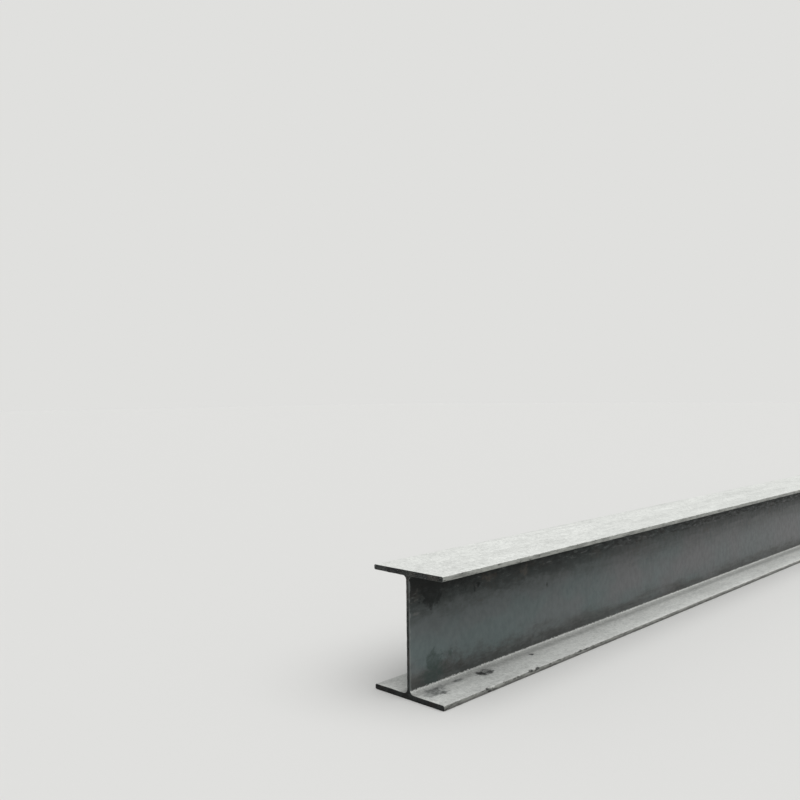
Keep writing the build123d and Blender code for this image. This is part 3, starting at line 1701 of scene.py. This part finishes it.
def marks_on_web(section: Section) -> list[Stain]:
    """Lists the marks on the right side of the web.

    Args:
        section: The beam's sizes.

    Returns:
        The marks, each with its place, how far it reaches, its strength, raggedness and softness.
    """
    web, thin = -section.web / 2, 7 * MM
    return [
        Stain(Mark.SOOT, (0.094, web, 0.272), (0.056, thin, 0.060), 0.66, 0.55, 0.5),
        Stain(Mark.SOOT, (0.074, web, 0.248), (0.030, thin, 0.030), 0.55, 0.6, 0.6),
        Stain(Mark.SOOT, (0.118, web, 0.246), (0.022, thin, 0.020), 0.45, 0.7, 0.7),
        Stain(Mark.SOOT, (0.150, web, 0.305), (0.330, thin, 0.058), 0.60, 0.6, 0.8),
        Stain(Mark.SOOT, (0.290, web, 0.258), (0.013, thin, 0.013), 1.00, 0.45, 0.6),
        Stain(Mark.SOOT, (0.272, web, 0.244), (0.009, thin, 0.010), 0.60, 0.5, 0.8),
        Stain(Mark.SOOT, (0.630, web, 0.198), (0.009, thin, 0.010), 0.80, 0.4, 0.8),
        Stain(Mark.RUST, (0.335, web, 0.268), (0.045, thin, 0.016), 0.45, 0.8, 0.9),
        Stain(Mark.RUST, (0.515, web, 0.262), (0.030, thin, 0.022), 0.45, 0.8, 0.9),
        Stain(Mark.PALE, (0.032, web, 0.284), (0.007, thin, 0.009), 0.16, 0.5, 0.9),
        Stain(Mark.PALE, (0.028, web, 0.221), (0.020, thin, 0.005), 0.35, 0.5, 0.9),
        Stain(Mark.PALE, (0.020, web, 0.050), (0.050, thin, 0.032), 0.22, 0.5, 0.9),
        Stain(Mark.GRIME, (0.172, web, 0.076), (0.070, thin, 0.036), 0.55, 0.7, 0.9),
        Stain(Mark.GRIME, (0.255, web, 0.050), (0.130, thin, 0.022), 0.40, 0.7, 0.9),
        Stain(Mark.DAMP, (0.096, web, 0.074), (0.046, thin, 0.046), 0.85, 0.45, 0.6),
        Stain(Mark.DAMP, (0.090, web, 0.042), (0.062, thin, 0.032), 0.80, 0.5, 0.6),
        Stain(Mark.DAMP, (0.165, web, 0.089), (0.013, thin, 0.012), 0.75, 0.4, 0.8),
    ]


def marks_on_flange(section: Section) -> list[Stain]:
    """Lists the marks in the dust of the lower flange, on the right.

    Args:
        section: The beam's sizes.

    Returns:
        The marks.
    """
    flange, thin = section.flange, 7 * MM
    return [
        Stain(Mark.GREASE, (0.062, -0.041, flange), (0.052, 0.034, thin), 0.95, 0.5, 0.8),
        Stain(Mark.GREASE, (0.090, -0.022, flange), (0.066, 0.015, thin), 0.50, 0.6, 0.8),
        Stain(Mark.GREASE, (0.042, -0.050, flange), (0.034, 0.024, thin), 0.60, 0.6, 0.8),
        Stain(Mark.GREASE, (0.165, -0.025, flange), (0.024, 0.012, thin), 1.00, 0.5, 0.7),
        Stain(Mark.TAR, (0.079, -0.060, flange), (0.009, 0.009, thin), 0.60, 0.5, 0.8),
        Stain(Mark.TAR, (0.080, -0.024, flange), (0.016, 0.009, thin), 0.45, 0.6, 0.9),
        Stain(Mark.TAR, (0.274, -0.036, flange), (0.040, 0.024, thin), 0.70, 0.50, 0.5),
        Stain(Mark.TAR, (0.258, -0.036, flange), (0.021, 0.021, thin), 1.00, 0.35, 0.5),
        Stain(Mark.TAR, (0.284, -0.045, flange), (0.032, 0.012, thin), 0.90, 0.40, 0.5),
        Stain(Mark.TAR, (0.497, -0.038, flange), (0.012, 0.010, thin), 1.00, 0.25, 0.5),
    ]


def marks_on_toe(section: Section) -> list[Stain]:
    """Lists the chips in the lower flange's right toe, and the bare steel beside them, painted pale as a
    highlight.

    Args:
        section: The beam's sizes.

    Returns:
        The marks.
    """
    toe = 1 * MM - section.width / 2
    bare = toe + 1 * MM
    return [
        Stain(Mark.CHIP, (0.176, toe, 0.012), (0.008, 0.009, 0.005), 0.95, 0.3, 0.4),
        Stain(Mark.CHIP, (0.184, toe, 0.005), (0.009, 0.009, 0.004), 0.90, 0.3, 0.4),
        Stain(Mark.CHIP, (0.375, toe, 0.012), (0.012, 0.009, 0.005), 1.00, 0.3, 0.4),
        Stain(Mark.CHIP, (0.388, toe, 0.009), (0.016, 0.009, 0.003), 0.70, 0.4, 0.6),
        Stain(Mark.CHIP, (0.406, toe, 0.012), (0.014, 0.009, 0.005), 1.00, 0.3, 0.4),
        Stain(Mark.CHIP, (0.630, toe, 0.011), (0.014, 0.009, 0.004), 0.90, 0.4, 0.5),
        Stain(Mark.CHIP, (0.664, toe, 0.011), (0.016, 0.009, 0.004), 0.80, 0.4, 0.5),
        Stain(Mark.BARE_GLINT, (0.203, bare, 0.013), (0.008, 0.006, 0.004), 0.90, 0.3, 0.5),
        Stain(Mark.BARE_GLINT, (0.192, bare, 0.013), (0.005, 0.005, 0.003), 0.70, 0.3, 0.6),
    ]


def nicks_in_toe() -> list[Nick]:
    """Lists the nicks that show in the lower flange's right toe.

    Returns:
        The nicks.
    """
    return [
        Nick(from_end=0.375, side=-1, upper=False, reach=10 * MM, depth=1.8 * MM, outer=False),
        Nick(from_end=0.406, side=-1, upper=False, reach=14 * MM, depth=2.2 * MM, outer=False),
        Nick(from_end=0.176, side=-1, upper=False, reach=12 * MM, depth=1.4 * MM, outer=False),
        Nick(from_end=0.206, side=-1, upper=False, reach=8 * MM, depth=1.2 * MM, outer=False),
    ]


def main() -> None:
    """Builds the beam, the studio and the camera."""
    logging.basicConfig(level=logging.INFO, format="%(name)s: %(message)s")
    section = Section.from_model(frame["record"])

    stains = marks_on_web(section) + marks_on_flange(section) + marks_on_toe(section)
    beam = HBeam(section, stains, nicks_in_toe())
    rolled = beam.build()
    beam.dress(rolled)
    triangles = sum(len(polygon.vertices) - 2 for polygon in rolled.data.polygons)
    log.info("%s has %d triangles", rolled.name, triangles)

    Studio().build()
    Viewpoint().build()
    bpy.context.scene.view_settings.view_transform = "Standard"


if __name__ == "__main__":
    main()
